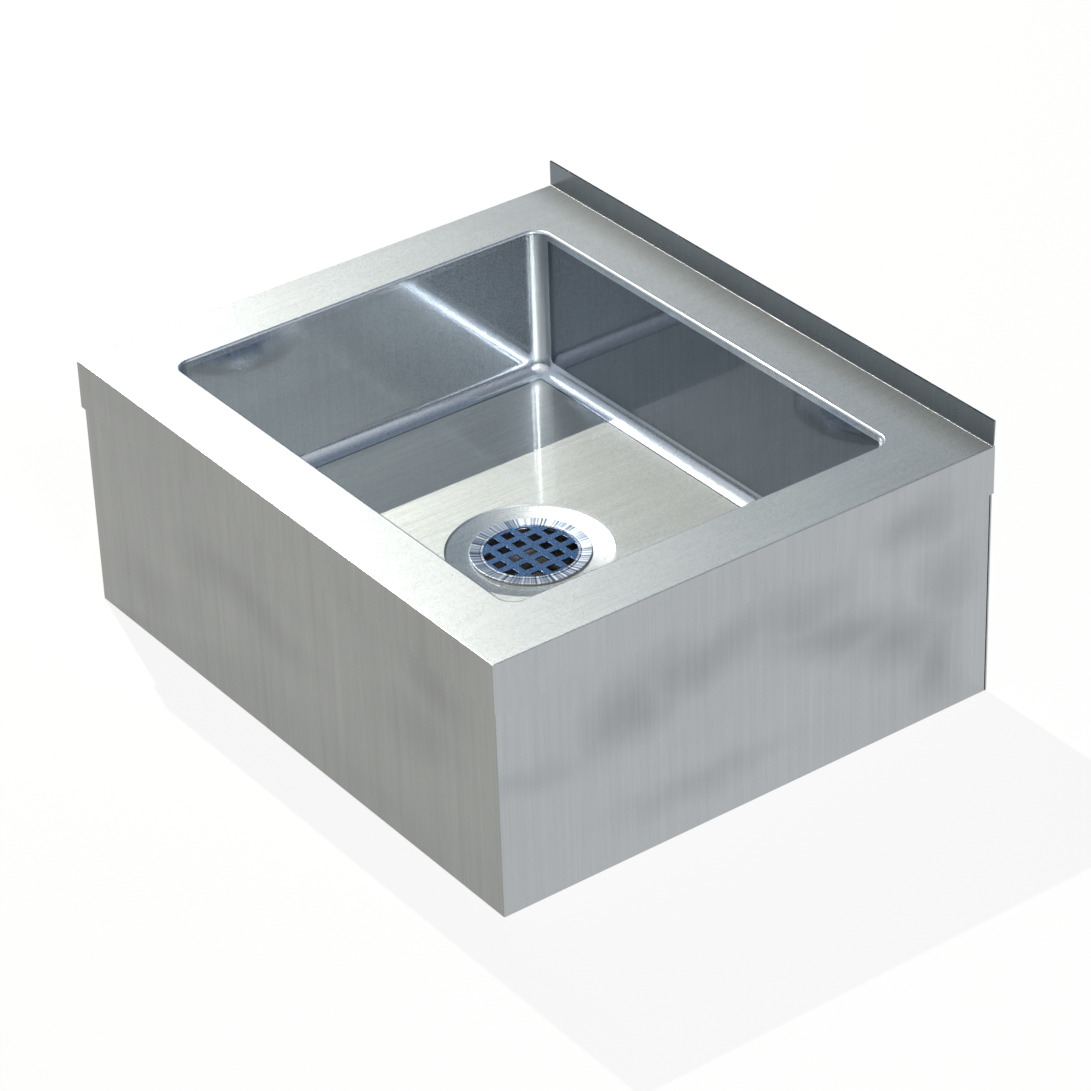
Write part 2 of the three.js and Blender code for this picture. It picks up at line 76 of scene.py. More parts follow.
def addCamera(look):
    camera = linkNew("photo_camera", bpy.data.cameras.new("photo_camera"))
    camera.data.lens = look["lens"]
    camera.data.sensor_width = look["film"]
    camera.data.clip_start = 0.05
    camera.location = look["place"]
    camera.rotation_mode = "QUATERNION"
    aim = (-towards(look["azimuth"], look["elevation"])).to_track_quat("-Z", "Y")
    camera.rotation_quaternion = aim @ Quaternion((0, 0, 1), math.radians(look["roll"]))
    bpy.context.scene.camera = camera


addCamera(photoCamera)
print("camera placed")

# working in edit mode

picking = {
    "touching": 1e-5,  # metres within which two places are the same
    "slack": 1e-4,  # metres given when faces are picked by their place
    "facing": 0.9,  # a face looks along an axis when its normal has this much of it
    "steep": 0.7,  # the same for painting, where the bends go with the flats beside them
    "flat": 0.99,  # a face that looks less than this along every axis is part of a bend
    "rising": 0.1,  # a face whose normal has this much of +Z looks upwards
}
turnedEdge = 40  # degrees from which an edge of a turned piece stays sharp


def nothingSelected():
    if bpy.context.mode != "OBJECT":
        bpy.ops.object.mode_set(mode="OBJECT")
    bpy.ops.object.select_all(action="DESELECT")


def beginPiece(name):
    # the primitive just added becomes this piece, with its place in its mesh
    piece = bpy.context.object
    piece.name = name
    piece.data.name = name
    bpy.ops.object.transform_apply(location=True, rotation=True, scale=True)
    bpy.ops.object.mode_set(mode="EDIT")
    return piece


def pick(piece, kind, test):
    # selects the verts, edges or faces that pass the test, and nothing else
    kinds = ("verts", "edges", "faces")
    bpy.context.tool_settings.mesh_select_mode = [kind == one for one in kinds]
    bpy.ops.mesh.select_all(action="DESELECT")
    mesh = bmesh.from_edit_mesh(piece.data)
    for part in getattr(mesh, kind):
        if test(part):
            part.select_set(True)
    bmesh.update_edit_mesh(piece.data)


def near(a, b):
    return abs(a - b) < picking["touching"]


def along(edge, axis):
    # true for an edge that runs parallel to the axis 0, 1 or 2
    a, b = (vert.co for vert in edge.verts)
    return all(near(a[other], b[other]) for other in range(3) if other != axis)


def level(edge, axis, place):
    # true for an edge that lies at this place of the axis
    return all(near(vert.co[axis], place) for vert in edge.verts)


def looksAlong(face, axis, sign):
    return face.normal[axis] * sign > picking["facing"]


def middleOf(face):
    return face.calc_center_median()


def extrudeBy(x, y, z):
    bpy.ops.mesh.extrude_region_move(TRANSFORM_OT_translate={"value": (x, y, z)})


def rounded(offset, segments, affect="EDGES"):
    bpy.ops.mesh.bevel(
        offset=offset, segments=segments, affect=affect, profile=0.5, clamp_overlap=False)


def finishMode(piece):
    nothingSelected()
    piece.select_set(True)
    bpy.context.view_layer.objects.active = piece


def useModifier(piece, kind, **values):
    finishMode(piece)
    modifier = piece.modifiers.new(kind.title(), kind)
    for name, value in values.items():
        setattr(modifier, name, value)
    bpy.ops.object.modifier_apply(modifier=modifier.name)


def smoothShade(piece, sharpest=35):
    # smooth over the bends, true over the flats
    finishMode(piece)
    bpy.ops.object.shade_smooth_by_angle(angle=math.radians(sharpest))
    useModifier(piece, "WEIGHTED_NORMAL", mode="FACE_AREA", weight=100, keep_sharp=True)


def deburr(piece, width, angle=60, **values):
    # takes the sharp edges off, those that turn by more than this angle
    limits = {"limit_method": "ANGLE", "angle_limit": math.radians(angle)}
    useModifier(piece, "BEVEL", width=width, segments=2, **limits, **values)


def thicken(piece, thickness, **values):
    # the sheet goes behind the faces, as seen from the side that shows
    useModifier(piece, "SOLIDIFY", thickness=thickness, offset=-1, use_even_offset=True, **values)


def faceOutwards():
    bpy.ops.mesh.select_all(action="SELECT")
    bpy.ops.mesh.normals_make_consistent(inside=False)


def turnTo(piece, axis, place, sign):
    # turns the open shell over if its largest face at this place looks the wrong way
    mesh = bmesh.from_edit_mesh(piece.data)
    mesh.normal_update()
    there = [face for face in mesh.faces if near(middleOf(face)[axis], place)]
    largest = max(there, key=lambda face: face.calc_area())
    if largest.normal[axis] * sign < 0:
        bpy.ops.mesh.select_all(action="SELECT")
        bpy.ops.mesh.flip_normals()


def addBlock(low, high):
    centre = [(a + b) / 2 for a, b in zip(low, high)]
    size = [b - a for a, b in zip(low, high)]
    bpy.ops.mesh.primitive_cube_add(size=1, location=centre, scale=size)


def pullRings(rings, radius, z):
    # pulls the selected ring from [radius, z] through each of the rings, all round the Z axis
    for nextRadius, nextZ in rings:
        extrudeBy(0, 0, nextZ - z)
        if not near(nextRadius, radius):
            scale = nextRadius / radius
            bpy.ops.transform.resize(value=(scale, scale, 1), center_override=(0, 0, nextZ))
        radius, z = nextRadius, nextZ


def turnedPiece(name, sides, rings):
    # a closed profile of [radius, z] turned round the Z axis
    nothingSelected()
    bpy.context.tool_settings.mesh_select_mode = (True, False, False)
    first, *rest = rings
    bpy.ops.mesh.primitive_circle_add(vertices=sides, radius=first[0], location=(0, 0, first[1]))
    piece = beginPiece(name)
    pullRings(rest, *first)
    pick(piece, "edges", lambda edge: edge.is_boundary)
    bpy.ops.mesh.bridge_edge_loops()
    faceOutwards()
    return piece


def arc(centre, radius, start, end, steps):
    # points of an arc in [radius, z], angles in degrees
    points = []
    for i in range(steps + 1):
        angle = math.radians(start + (end - start) * i / steps)
        points.append((centre[0] + radius * math.cos(angle), centre[1] + radius * math.sin(angle)))
    return points


# materials: shared steps


def newMaterial(name):
    material = bpy.data.materials.new(name)
    material.use_nodes = True
    material.node_tree.nodes.clear()
    return material, material.node_tree


def addNode(tree, kind, sockets=(), **settings):
    made = tree.nodes.new("ShaderNode" + kind)
    for name, value in settings.items():
        setattr(made, name, value)
    for key, value in dict(sockets).items():
        if isinstance(value, bpy.types.NodeSocket):
            tree.links.new(value, made.inputs[key])
        else:
            made.inputs[key].default_value = value
    return made


def ownPlace(tree, scale=(1, 1, 1), location=(0, 0, 0)):
    # the place on the piece, in metres times the scale
    source = addNode(tree, "TexCoord").outputs["Object"]
    mapping = addNode(tree, "Mapping", {"Vector": source, "Scale": scale, "Location": location})
    return mapping.outputs["Vector"]


def noise(tree, vector, scale, detail=3.0, rough=0.5, twist=0.0):
    sockets = {"Vector": vector, "Scale": scale, "Detail": detail}
    sockets.update({"Roughness": rough, "Distortion": twist})
    return addNode(tree, "TexNoise", sockets).outputs["Fac"]


noiseRange = (0.3, 0.7)  # most of what the noise gives lies between these


def remap(tree, value, low, high, start=0.0, end=1.0, kind="LINEAR"):
    sockets = {"Value": value, "From Min": low, "From Max": high, "To Min": start, "To Max": end}
    return addNode(tree, "MapRange", sockets, interpolation_type=kind).outputs["Result"]


def spread(tree, value, start=0.0, end=1.0):
    return remap(tree, value, *noiseRange, start, end)


def maths(tree, operation, a, b=0.0):
    return addNode(tree, "Math", {0: a, 1: b}, operation=operation).outputs[0]


def tint(tree, fac, dark, light):
    mixed = addNode(tree, "Mix", data_type="RGBA")
    for socket, value in ((mixed.inputs[6], dark), (mixed.inputs[7], light)):
        if isinstance(value, bpy.types.NodeSocket):
            tree.links.new(value, socket)
        else:
            socket.default_value = (*value, 1)
    tree.links.new(fac, mixed.inputs[0])
    return mixed.outputs[2]


def bump(tree, height, strength, distance):
    sockets = {"Height": height, "Strength": strength, "Distance": distance}
    return addNode(tree, "Bump", sockets).outputs["Normal"]


def vectorMaths(tree, operation, sockets, output=0):
    return addNode(tree, "VectorMath", sockets, operation=operation).outputs[output]


def flatPlace(tree):
    # the place on the piece without its height
    source = addNode(tree, "TexCoord").outputs["Object"]
    return vectorMaths(tree, "MULTIPLY", {0: source, 1: (1, 1, 0)})


def surface(tree, sockets):
    shader = addNode(tree, "BsdfPrincipled", sockets)
    addNode(tree, "OutputMaterial", {"Surface": shader.outputs[0]})


def plainMetal(name, look):
    # grain of the look's fineness over slow clouds
    material, tree = newMaterial(name)
    grain = noise(tree, ownPlace(tree, look["grain"]), 1.0, 4.0, 0.6)
    cloud = noise(tree, ownPlace(tree), 18.0)
    tone = maths(tree, "ADD", spread(tree, grain, 0.0, 0.6), spread(tree, cloud, 0.0, 0.4))
    both = maths(tree, "ADD", grain, cloud)
    surface(tree, {
        "Base Color": tint(tree, tone, look["dark"], look["light"]),
        "Metallic": 1.0,
        "Roughness": remap(tree, both, 0.7, 1.3, *look["roughness"]),
        "Normal": bump(tree, grain, look["relief"], 0.0003),
    })
    return material


# materials: the sink's own finishes, each face of the one steel toned for how light falls on it, which is
# painted light and shade. Each painted reflection, a dark patch, has a place, a size, a tilt in degrees and
# a depth, and wander is how far its outline is pulled about

# Each look's tone is painted for how light falls on its face of the one steel: the top lightest, then the
# sides, the front and the upstand darker in turn, as painted shade.
sheetLooks = {
    "deck": {
        "dark": (0.54, 0.56, 0.55),
        "light": (0.645, 0.665, 0.65),
        "grain": (520, 9, 520),  # fine across the grain, long along it
        "smooth": 0.1,
        "rough": 0.42,
        "polished": (0.34, 0.37),
        "relief": 0.08,
        # a dark strip painted along the upstand's foot: the upstand's painted reflection in the deck
        "paintedReflections": [[(0, 0.266, 0.254), (2.0, 0.04, 0.06), (0, 0, 0), 0.42]],  # along the upstand
        "wander": 0.003,
    },
    "front": {
        "dark": (0.255, 0.262, 0.248),
        "light": (0.335, 0.343, 0.325),
        "grain": (520, 520, 9),
        "smooth": 0.24,
        "rough": 0.4,
        "polished": (0.3, 0.7),
        "relief": 0.08,
        # dark patches of painted reflection on the front
        "paintedReflections": [
            [(-0.06, -0.265, 0.125), (0.195, 0.05, 0.034), (0, 8, 0), 0.13],
            [(0.23, -0.265, 0.186), (0.065, 0.05, 0.056), (0, 0, 0), 0.15],
            [(0.2, -0.265, 0.13), (0.091, 0.05, 0.049), (0, -10, 0), 0.13],
            [(-0.218, -0.265, 0.065), (0.104, 0.05, 0.042), (0, 0, 0), 0.11],
        ],
        "wander": 0.06,
    },
    "upstand": {
        "dark": (0.15, 0.175, 0.195),
        "light": (0.19, 0.215, 0.235),
        "grain": (520, 520, 9),
        "smooth": 0.1,
        "rough": 0.3,
        "polished": (0.4, 0.6),
        "relief": 0.05,
        "paintedReflections": [],
    },
    "side": {
        "dark": (0.39, 0.41, 0.425),
        "light": (0.47, 0.495, 0.51),
        "grain": (520, 520, 9),
        "smooth": 0.24,
        "rough": 0.4,
        "polished": (0.3, 0.7),
        "relief": 0.08,
        # dark patches of painted reflection on the right side
        "paintedReflections": [
            [(0.316, -0.13, 0.145), (0.05, 0.08, 0.05), (10, 0, 0), 0.24],
            [(0.316, -0.055, 0.172), (0.05, 0.14, 0.036), (2, 0, 0), 0.19],
            [(0.316, 0.05, 0.17), (0.05, 0.075, 0.045), (-10, 0, 0), 0.17],
            [(0.316, 0.105, 0.13), (0.05, 0.135, 0.036), (-14, 0, 0), 0.24],
            [(0.316, 0.165, 0.1), (0.05, 0.081, 0.056), (-25, 0, 0), 0.27],
            [(0.316, 0.21, 0.065), (0.05, 0.047, 0.084), (0, 0, 0), 0.24],
            [(0.316, 0.18, 0.208), (0.05, 0.061, 0.042), (0, 0, 0), 0.25],
            [(0.316, 0.217, 0.137), (0.05, 0.054, 0.063), (0, 0, 0), 0.19],
            [(0.316, -0.055, 0.045), (0.05, 0.149, 0.031), (0, 0, 0), 0.13],
            [(0.316, -0.235, 0.13), (0.05, 0.095, 0.028), (0, 0, 0), 0.11],
        ],
        "wander": 0.06,
    },
}
# the near-black of the painted reflections
paintedReflectionColour = (0.03, 0.033, 0.036)
speckleScale = 2600.0  # finer than a pixel, so that it sets how much of the surface is polished


def mixedRoughness(tree, look):
    # the polished share mirrors sharply, and the rest spreads the light
    speckle = noise(tree, ownPlace(tree), speckleScale, 1.0)
    return remap(tree, speckle, *look["polished"], look["smooth"], look["rough"])


def paintedReflectionShade(tree, paintedReflections, wander):
    # soft dark patches of painted reflection, their outlines pulled about by noise
    sockets = {"Vector": ownPlace(tree), "Scale": 11.0, "Detail": 4.0}
    waves = addNode(tree, "TexNoise", sockets).outputs["Color"]
    still = ownPlace(tree, location=(-wander / 2,) * 3)
    pulled = vectorMaths(tree, "MULTIPLY_ADD", {0: waves, 1: (wander,) * 3, 2: still})
    shade = 0.0
    for middle, size, tilt, depth in paintedReflections:
        sockets = {"Vector": pulled, "Location": middle, "Scale": size}
        sockets["Rotation"] = [math.radians(turn) for turn in tilt]
        spot = addNode(tree, "Mapping", sockets, vector_type="TEXTURE").outputs["Vector"]
        ball = addNode(tree, "TexGradient", {"Vector": spot}, gradient_type="SPHERICAL").outputs["Fac"]
        patch = remap(tree, ball, 0.0, 1.0, 0.0, depth, "SMOOTHSTEP")
        shade = maths(tree, "MAXIMUM", patch, shade)
    return shade


def brushedSheet(name, look):
    # fine and coarse streaks along the grain, slow clouds, and painted dark reflections where the look has
    # them
    material, tree = newMaterial(name)
    fine = noise(tree, ownPlace(tree, look["grain"]), 1.0, 4.0, 0.6)
    coarse = noise(tree, ownPlace(tree, [one / 4 for one in look["grain"]]), 1.0, 2.0)
    fineShare = maths(tree, "MULTIPLY", fine, 0.6)
    coarseShare = maths(tree, "MULTIPLY", coarse, 0.4)
    streaks = maths(tree, "ADD", fineShare, coarseShare)
    cloud = noise(tree, ownPlace(tree, (1, 1, 1.6)), 5.0, 3.0, 0.55, 0.6)
    clouds = remap(tree, cloud, 0.3, 0.62, 0.0, 0.3)
    tone = maths(tree, "ADD", spread(tree, streaks, 0.0, 0.7), clouds)
    colour = tint(tree, tone, look["dark"], look["light"])
    if look["paintedReflections"]:
        # the painted reflections darken the colour towards near-black
        shade = paintedReflectionShade(tree, look["paintedReflections"], look["wander"])
        colour = tint(tree, shade, colour, paintedReflectionColour)
    surface(tree, {
        "Base Color": colour,
        "Metallic": 1.0,
        "Roughness": mixedRoughness(tree, look),
        "Normal": bump(tree, streaks, look["relief"], 0.0002),
    })
    return material


# The bowl is one steel, toned face by face for how light falls on it: the walls darkest as painted shade;
# the left wall, the floor and the dish lighter as painted light; the coves lighter still for their painted
# highlight lines.
bowlLooks = {
    "wall": {
        "dark": (0.16, 0.18, 0.215),
        "light": (0.19, 0.215, 0.25),
        "grain": (420, 420, 8),
        "smooth": 0.06,
        "rough": 0.4,
        "polished": (0.54, 0.58),
    },
    "leftWall": {
        "dark": (0.5, 0.545, 0.59),
        "light": (0.57, 0.615, 0.66),
        "grain": (420, 420, 8),
        "smooth": 0.08,
        "rough": 0.4,
        "polished": (0.54, 0.58),
    },
    "cove": {
        "dark": (0.54, 0.585, 0.64),
        "light": (0.63, 0.68, 0.735),
        "grain": (420, 420, 8),
        "smooth": 0.1,
        "rough": 0.42,
        "polished": (0.47, 0.51),
    },
    "floor": {
        "dark": (0.58, 0.6, 0.57),
        "light": (0.68, 0.7, 0.665),
        "grain": (420, 8, 420),
        "smooth": 0.05,
        "rough": 0.44,
        "polished": (0.4, 0.43),
    },
    "dish": {
        "dark": (0.67, 0.7, 0.7),
        "light": (0.78, 0.81, 0.8),
        "grain": (420, 8, 420),
        "smooth": 0.05,
        "rough": 0.37,
        "polished": (0.4, 0.43),
        "fall": 0.11,  # added slope
    },
}


def leanInwards(tree, normal, fall):
    # shades the dish steeper than it is pressed, as it shows in the photo
    reach = vectorMaths(tree, "LENGTH", {0: flatPlace(tree)}, "Value")
    sockets = {"Height": reach, "Strength": 1.0, "Distance": fall, "Normal": normal}
    return addNode(tree, "Bump", sockets).outputs["Normal"]


def polishedBowl(name, look):
    material, tree = newMaterial(name)
    streaks = noise(tree, ownPlace(tree, look["grain"]), 1.0, 3.0, 0.55)
    normal = bump(tree, streaks, 0.03, 0.0002)
    if "fall" in look:
        normal = leanInwards(tree, normal, look["fall"])
    surface(tree, {
        "Base Color": tint(tree, spread(tree, streaks), look["dark"], look["light"]),
        "Metallic": 1.0,
        "Roughness": mixedRoughness(tree, look),
        "Normal": normal,
    })
    return material


# the same brushed steel in painted lit and shaded tones, one for each face
sheetTopPaintedLit = brushedSheet("brushed_sheet_top_painted_lit", sheetLooks["deck"])
sheetFrontPaintedShade = brushedSheet("brushed_sheet_front_painted_shade", sheetLooks["front"])
sheetUpstandPaintedShade = brushedSheet("brushed_sheet_upstand_painted_shade", sheetLooks["upstand"])
sheetSidesPaintedShade = brushedSheet("brushed_sheet_sides_painted_shade", sheetLooks["side"])
# painted lit and shaded copies of the bowl's steel, one for each kind of face
bowlWallPaintedShade = polishedBowl("polished_bowl", bowlLooks["wall"])
bowlLeftWallPaintedLight = polishedBowl("polished_bowl_left_painted_light", bowlLooks["leftWall"])
bowlCovesPaintedHighlight = polishedBowl("polished_bowl_coves_painted_highlight", bowlLooks["cove"])
bowlFloorPaintedLight = polishedBowl("satin_bowl_floor_painted_light", bowlLooks["floor"])
bowlDishPaintedLight = polishedBowl("satin_bowl_dish_painted_light", bowlLooks["dish"])
print("materials made")


def dress(piece, body, slotName, materials, *nodes):
    # puts the finishes on, fastens the piece to its body and lets it stand for its nodes
    piece.data.materials.clear()
    for material in materials:
        piece.data.materials.append(material)
    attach(piece, body)
    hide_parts(*nodes)


def paintFaces(piece, material, test):
    # gives the faces that pass the test one of the piece's own materials
    index = piece.data.materials.find(material.name)
    for face in piece.data.polygons:
        if test(face):
            face.material_index = index


# deck: one sheet with the rim folded down, the opening turned in and the upstand folded up

deckLow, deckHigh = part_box("deck")
bowlLow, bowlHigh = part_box("bowl")
deckShape = {
    "sheet": 0.002,
    "upstand": 0.0254,
    "edge": 0.0012,
    "edgeSteps": 4,
    "fold": 0.0006,
    "foldSteps": 3,
    "flare": 0.003,
    "flareSteps": 8,
    "cornerSteps": 20,
    "cornerRadius": 0.0165,
    "deburr": 0.0003,
    "topArea": 0.1,  # square metres, more than any other level face of the sheet has
    "reach": 0.01,  # an edge that goes this far past a fold belongs to the side
}
bowlSheet = 0.0015
openingSize = [2 * (high - bowlSheet) for high in bowlHigh[:2]]


def addOpeningOutline(size, z, shape):
    # a rounded rectangle of edges, in the mesh that is being edited
    bpy.ops.mesh.select_all(action="DESELECT")
    bpy.ops.mesh.primitive_plane_add(size=1, location=(0, 0, z))
    bpy.ops.transform.resize(value=(size[0], size[1], 1), center_override=(0, 0, z))
    bpy.context.tool_settings.mesh_select_mode = (True, False, False)
    rounded(shape["cornerRadius"], shape["cornerSteps"], "VERTICES")
    bpy.ops.mesh.delete(type="ONLY_FACE")


def makeDeck(shape):
    top = deckHigh.z - shape["upstand"]
    fold = deckHigh.y - shape["sheet"]
    halfX = openingSize[0] / 2
    halfY = openingSize[1] / 2

    def inOpening(place, spare):
        # true inside the opening's outline made larger by this much
        return abs(place.x) < halfX + spare and abs(place.y) < halfY + spare

    def onRim(edge):
        rim = all(inOpening(vert.co, picking["slack"]) for vert in edge.verts)
        return rim and level(edge, 2, top)

    def isSideEnd(edge):
        # an upright edge at the rear end of a side, below the deck's top
        lowest = min(vert.co.z for vert in edge.verts)
        upright = along(edge, 2) and level(edge, 1, fold)
        return edge.is_boundary and upright and lowest < top - shape["reach"]

    def isOuterEdge(edge):
        # the top's edges at the front and the sides, and the two upright front corners
        foremost = min(vert.co.y for vert in edge.verts)
        upper = level(edge, 2, top) and foremost < fold - shape["reach"]
        upright = along(edge, 2) and level(edge, 1, deckLow.y)
        return upper or upright

    def isUpstandFold(edge):
        return level(edge, 2, top) and level(edge, 1, fold) and not edge.is_boundary

    def isLipFold(edge):
        meetsLip = any(abs(face.normal.z) < picking["steep"] for face in edge.link_faces)
        return onRim(edge) and len(edge.link_faces) == 2 and meetsLip

    def isFrontFace(face):
        return face.normal.y < -picking["steep"] and face.center.z < top

    def isFlareFace(face):
        inFlare = inOpening(face.center, shape["flare"] - picking["slack"])
        return inFlare and face.center.z < top - picking["touching"]

    nothingSelected()
    addBlock(deckLow, (deckHigh.x, fold, top))
    deck = beginPiece("sink_deck")
    pick(deck, "faces", lambda face: looksAlong(face, 2, -1) or looksAlong(face, 1, 1))
    bpy.ops.mesh.delete(type="FACE")
    pick(deck, "edges", lambda edge: level(edge, 2, top) and level(edge, 1, fold))
    extrudeBy(0, 0, shape["upstand"])
    pick(deck, "edges", isSideEnd)
    extrudeBy(0, shape["sheet"], 0)
    pick(deck, "edges", isOuterEdge)
    rounded(shape["edge"], shape["edgeSteps"])
    pick(deck, "edges", isUpstandFold)
    rounded(shape["fold"], shape["foldSteps"])
    pick(deck, "faces", lambda face: looksAlong(face, 2, 1) and face.calc_area() > shape["topArea"])
    bpy.ops.mesh.delete(type="ONLY_FACE")
    addOpeningOutline(openingSize, top, shape)
    pick(deck, "edges", lambda edge: level(edge, 2, top) and len(edge.link_faces) < 2)
    bpy.ops.mesh.fill(use_beauty=True)
    pick(deck, "edges", lambda edge: edge.is_boundary and onRim(edge))
    extrudeBy(0, 0, bowlHigh.z - top)
    pick(deck, "edges", isLipFold)
    rounded(shape["flare"], shape["flareSteps"])
    faceOutwards()
    turnTo(deck, 2, top, 1)
    thicken(deck, shape["sheet"], use_quality_normals=True)
    deburr(deck, shape["deburr"])
    smoothShade(deck)
    finish = [sheetTopPaintedLit, sheetSidesPaintedShade, bowlCovesPaintedHighlight, sheetFrontPaintedShade, sheetUpstandPaintedShade]
    dress(deck, "sink", "brushed_sheet", finish, "deck")
    # the sides, the front and the upstand take darker painted shade tones of the same steel
    paintFaces(deck, sheetSidesPaintedShade, lambda face: abs(face.normal.z) < picking["steep"])
    paintFaces(deck, sheetFrontPaintedShade, isFrontFace)
    paintFaces(deck, sheetUpstandPaintedShade, lambda face: face.center.z > top + shape["fold"])
    # the flare takes the coves' lighter tone, a painted highlight line round the opening
    paintFaces(deck, bowlCovesPaintedHighlight, isFlareFace)


makeDeck(deckShape)
print("deck made")

# bowl: a coved tub with a pressed dish round the drain

bowlShape = {
    "coveRadius": 0.0159,
    "coveSteps": 18,
    "dishRadius": 0.078,
    "dishDepth": 0.0032,
    "dishStep": 0.0014,
    "dishStepWidth": 0.0017,
    "seatRadius": 0.058,
    "soft": 0.0004,
    "seatBend": 0.004,
    "holeRadius": 0.0475,
    "dishSides": 128,
    "floorArea": 0.05,  # square metres, more than any other level face of the bowl has
    "sharpest": 50,
}


def softCorner(before, corner, after, reach, steps=4):
    # points that round one corner of a [radius, z] profile
    corner = Vector(corner)
    start = corner + (Vector(before) - corner).normalized() * reach
    end = corner + (Vector(after) - corner).normalized() * reach
    points = []
    for i in range(steps + 1):
        t = i / steps
        points.append(tuple(start * (1 - t) ** 2 + corner * 2 * t * (1 - t) + end * t ** 2))
    return points


def dishRings(shape, floorTop):
    # the dish from its rim down its step and its slope to the hole, as [radius, z]
    seat = floorTop - shape["dishDepth"]
    outer = (2 * shape["dishRadius"], floorTop)
    rim = (shape["dishRadius"], floorTop)
    step = (shape["dishRadius"] - shape["dishStepWidth"], floorTop - shape["dishStep"])
    flat = (shape["seatRadius"], seat)
    hole = (shape["holeRadius"], seat)
    rings = softCorner(outer, rim, step, shape["soft"])[2:]
    rings += softCorner(rim, step, flat, shape["soft"])
    rings += softCorner(step, flat, hole, shape["seatBend"])
    return rings + [hole]


def makeBowl(shape, opening):
    floorTop = bowlLow.z + shape["dishDepth"] + bowlSheet
    halfX = openingSize[0] / 2
    halfY = openingSize[1] / 2
    dishEdge = shape["dishRadius"] + picking["touching"]

    def onDishRim(edge):
        inDish = all(vert.co.xy.length < dishEdge for vert in edge.verts)
        return edge.is_boundary and level(edge, 2, floorTop) and inDish

    def isWholeFloor(face):
        # the floor before the dish is let into it, which still looks out of the block
        return looksAlong(face, 2, -1) and face.calc_area() > shape["floorArea"]

    def isCurved(face):
        # the coves and the upright corners, which look along no axis
        return max(map(abs, face.normal)) < picking["flat"] and face.center.z > floorTop

    def isShownFloor(face):
        upwards = face.normal.z > picking["rising"]
        return upwards and face.center.z < floorTop + picking["slack"]

    nothingSelected()
    addBlock((-halfX, -halfY, floorTop), (halfX, halfY, bowlHigh.z))
    bowl = beginPiece("sink_bowl")
    pick(bowl, "faces", lambda face: looksAlong(face, 2, 1))
    bpy.ops.mesh.delete(type="FACE")
    pick(bowl, "edges", lambda edge: along(edge, 2))
    rounded(opening["cornerRadius"], opening["cornerSteps"])
    pick(bowl, "edges", lambda edge: level(edge, 2, floorTop))
    rounded(shape["coveRadius"], shape["coveSteps"])
    pick(bowl, "faces", isWholeFloor)
    bpy.ops.mesh.delete(type="ONLY_FACE")
    bpy.ops.mesh.select_all(action="DESELECT")
    bpy.ops.mesh.primitive_circle_add(
        vertices=shape["dishSides"], radius=shape["dishRadius"], location=(0, 0, floorTop))
    pick(bowl, "edges", lambda edge: level(edge, 2, floorTop) and len(edge.link_faces) < 2)
    bpy.ops.mesh.fill(use_beauty=True)
    pick(bowl, "edges", onDishRim)
    pullRings(dishRings(shape, floorTop), shape["dishRadius"], floorTop)
    faceOutwards()
    turnTo(bowl, 2, floorTop, 1)
    thicken(bowl, bowlSheet, use_quality_normals=True)
    smoothShade(bowl, shape["sharpest"])
    finish = [bowlWallPaintedShade, bowlFloorPaintedLight, bowlCovesPaintedHighlight, bowlLeftWallPaintedLight, bowlDishPaintedLight]
    dress(bowl, "sink", "polished_bowl", finish, "bowl")
    # each kind of face takes its painted lit and shaded tone of the one steel
    paintFaces(bowl, bowlFloorPaintedLight, isShownFloor)
    paintFaces(bowl, bowlCovesPaintedHighlight, isCurved)
    paintFaces(bowl, bowlLeftWallPaintedLight, lambda face: face.normal.x > picking["flat"])
    paintFaces(bowl, bowlDishPaintedLight, lambda face: face.center.xy.length < shape["dishRadius"])


makeBowl(bowlShape, deckShape)
print("bowl made")

# skirt: front and sides in one sheet, turned in behind the rear panel and under at the floor

wrapLow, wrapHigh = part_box("skirt_wrap")
skirtShape = {
    "sheet": 0.0015,
    "return": 0.015,
    "floorFlange": 0.0254,
    "bend": 0.0015,
    "bendSteps": 4,
    "foldAngle": 60,  # degrees, less than any fold turns
    "deburr": 0.0002,
}


